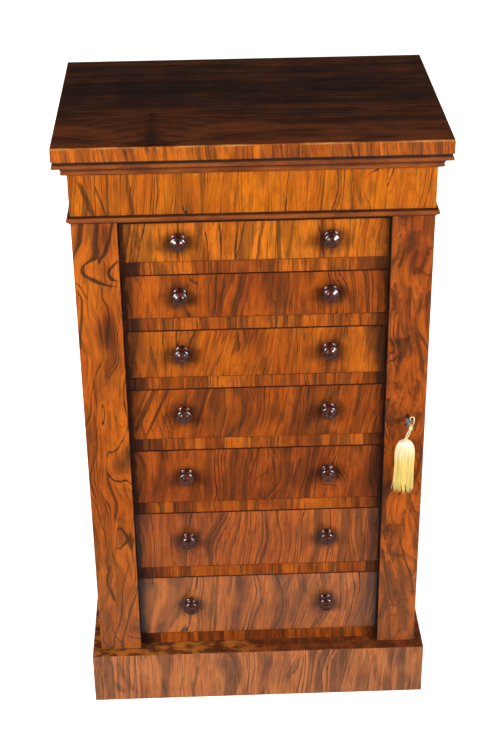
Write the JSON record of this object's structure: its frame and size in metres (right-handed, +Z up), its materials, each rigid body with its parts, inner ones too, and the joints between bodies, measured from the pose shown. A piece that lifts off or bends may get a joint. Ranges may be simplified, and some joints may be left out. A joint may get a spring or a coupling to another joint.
{
  "type": "wellington chest",
  "caption": "Tall narrow figured-wood chest with graduated drawers, turned knobs, a moulded cornice, a plinth, and a hinged locking stile with a key and tassel.",
  "frame": {"origin": "on the floor, under the middle of the bounding box", "axes": "+X to the right seen from the front, +Y to the back, +Z up; the drawers open along -Y"},
  "size_m": [0.6, 0.4128, 1.055],
  "materials": {
    "veneer_top": "dark french-polished veneer",
    "moulding": "polished red-brown hardwood",
    "veneer_front": "french-polished figured veneer",
    "veneer_plinth": "polished figured veneer",
    "carcass": "polished veneer",
    "rail": "polished cross-banding",
    "lining": "plain unpolished",
    "knob": "glossy turned rosewood",
    "brass": "worn",
    "iron": "dark worn",
    "silk": "twisted silk thread"
  },
  "bodies": {
    "carcass": {"top_board": "veneer_top", "cornice_moulding": "moulding", "astragal_moulding": "moulding", "frieze_board": "veneer_front", "stile_left": "veneer_front", "plinth": "veneer_plinth", "side_left": "carcass", "side_right": "carcass", "back_panel": "lining", "lock_post": "lining", "top_rail": "rail", "bottom_board": "rail", "dustboard_1": "rail", "dustboard_2": "rail", "dustboard_3": "rail", "dustboard_4": "rail", "dustboard_5": "rail", "dustboard_6": "rail"},
    "drawer_1": {"drawer_1_front": "veneer_front", "drawer_1_box": "lining", "drawer_1_bottom": "lining", "drawer_1_knob_left": "knob", "drawer_1_knob_right": "knob"},
    "drawer_2": {"drawer_2_front": "veneer_front", "drawer_2_box": "lining", "drawer_2_bottom": "lining", "drawer_2_knob_left": "knob", "drawer_2_knob_right": "knob"},
    "drawer_3": {"drawer_3_front": "veneer_front", "drawer_3_box": "lining", "drawer_3_bottom": "lining", "drawer_3_knob_left": "knob", "drawer_3_knob_right": "knob"},
    "drawer_4": {"drawer_4_front": "veneer_front", "drawer_4_box": "lining", "drawer_4_bottom": "lining", "drawer_4_knob_left": "knob", "drawer_4_knob_right": "knob"},
    "drawer_5": {"drawer_5_front": "veneer_front", "drawer_5_box": "lining", "drawer_5_bottom": "lining", "drawer_5_knob_left": "knob", "drawer_5_knob_right": "knob"},
    "drawer_6": {"drawer_6_front": "veneer_front", "drawer_6_box": "lining", "drawer_6_bottom": "lining", "drawer_6_knob_left": "knob", "drawer_6_knob_right": "knob"},
    "drawer_7": {"drawer_7_front": "veneer_front", "drawer_7_box": "lining", "drawer_7_bottom": "lining", "drawer_7_knob_left": "knob", "drawer_7_knob_right": "knob"},
    "stile": {"locking_stile": "veneer_front", "pivot_top": "brass", "pivot_bottom": "brass", "lock_case": "brass"},
    "bolt": {"lock_bolt": "brass"},
    "key_body": {"key": "iron"},
    "tassel_body": {"tassel": "silk"}
  },
  "joints": [
    {"name": "drawer_1_slide", "type": "slide", "parent": "carcass", "child": "drawer_1", "axis": [0, -1, 0], "range_m": [0, 0.3]},
    {"name": "drawer_2_slide", "type": "slide", "parent": "carcass", "child": "drawer_2", "axis": [0, -1, 0], "range_m": [0, 0.3]},
    {"name": "drawer_3_slide", "type": "slide", "parent": "carcass", "child": "drawer_3", "axis": [0, -1, 0], "range_m": [0, 0.3]},
    {"name": "drawer_4_slide", "type": "slide", "parent": "carcass", "child": "drawer_4", "axis": [0, -1, 0], "range_m": [0, 0.3]},
    {"name": "drawer_5_slide", "type": "slide", "parent": "carcass", "child": "drawer_5", "axis": [0, -1, 0], "range_m": [0, 0.3]},
    {"name": "drawer_6_slide", "type": "slide", "parent": "carcass", "child": "drawer_6", "axis": [0, -1, 0], "range_m": [0, 0.3]},
    {"name": "drawer_7_slide", "type": "slide", "parent": "carcass", "child": "drawer_7", "axis": [0, -1, 0], "range_m": [0, 0.3]},
    {"name": "stile_hinge", "type": "hinge", "parent": "carcass", "child": "stile", "pos_m": [0.271, -0.1748, 0.1008], "axis": [0, 0, 1], "range_deg": [0, 90]},
    {"name": "key_turn", "type": "hinge", "parent": "stile", "child": "key_body", "pos_m": [0.2495, -0.1805, 0.568], "axis": [0, 1, 0], "range_deg": [0, 90]},
    {"name": "bolt_slide", "type": "slide", "parent": "stile", "child": "bolt", "axis": [-1, 0, 0], "range_m": [0, 0.0085]},
    {"name": "tassel_swing", "type": "hinge", "parent": "key_body", "child": "tassel_body", "pos_m": [0.25485, -0.1994, 0.57395], "axis": [0, 1, 0], "range_deg": [-90, 0]}
  ],
  "couplings": [
    {"joint": "bolt_slide", "follows": "key_turn", "m_per_rad": 0.005411},
    {"joint": "tassel_swing", "follows": "key_turn", "ratio": -1}
  ]
}
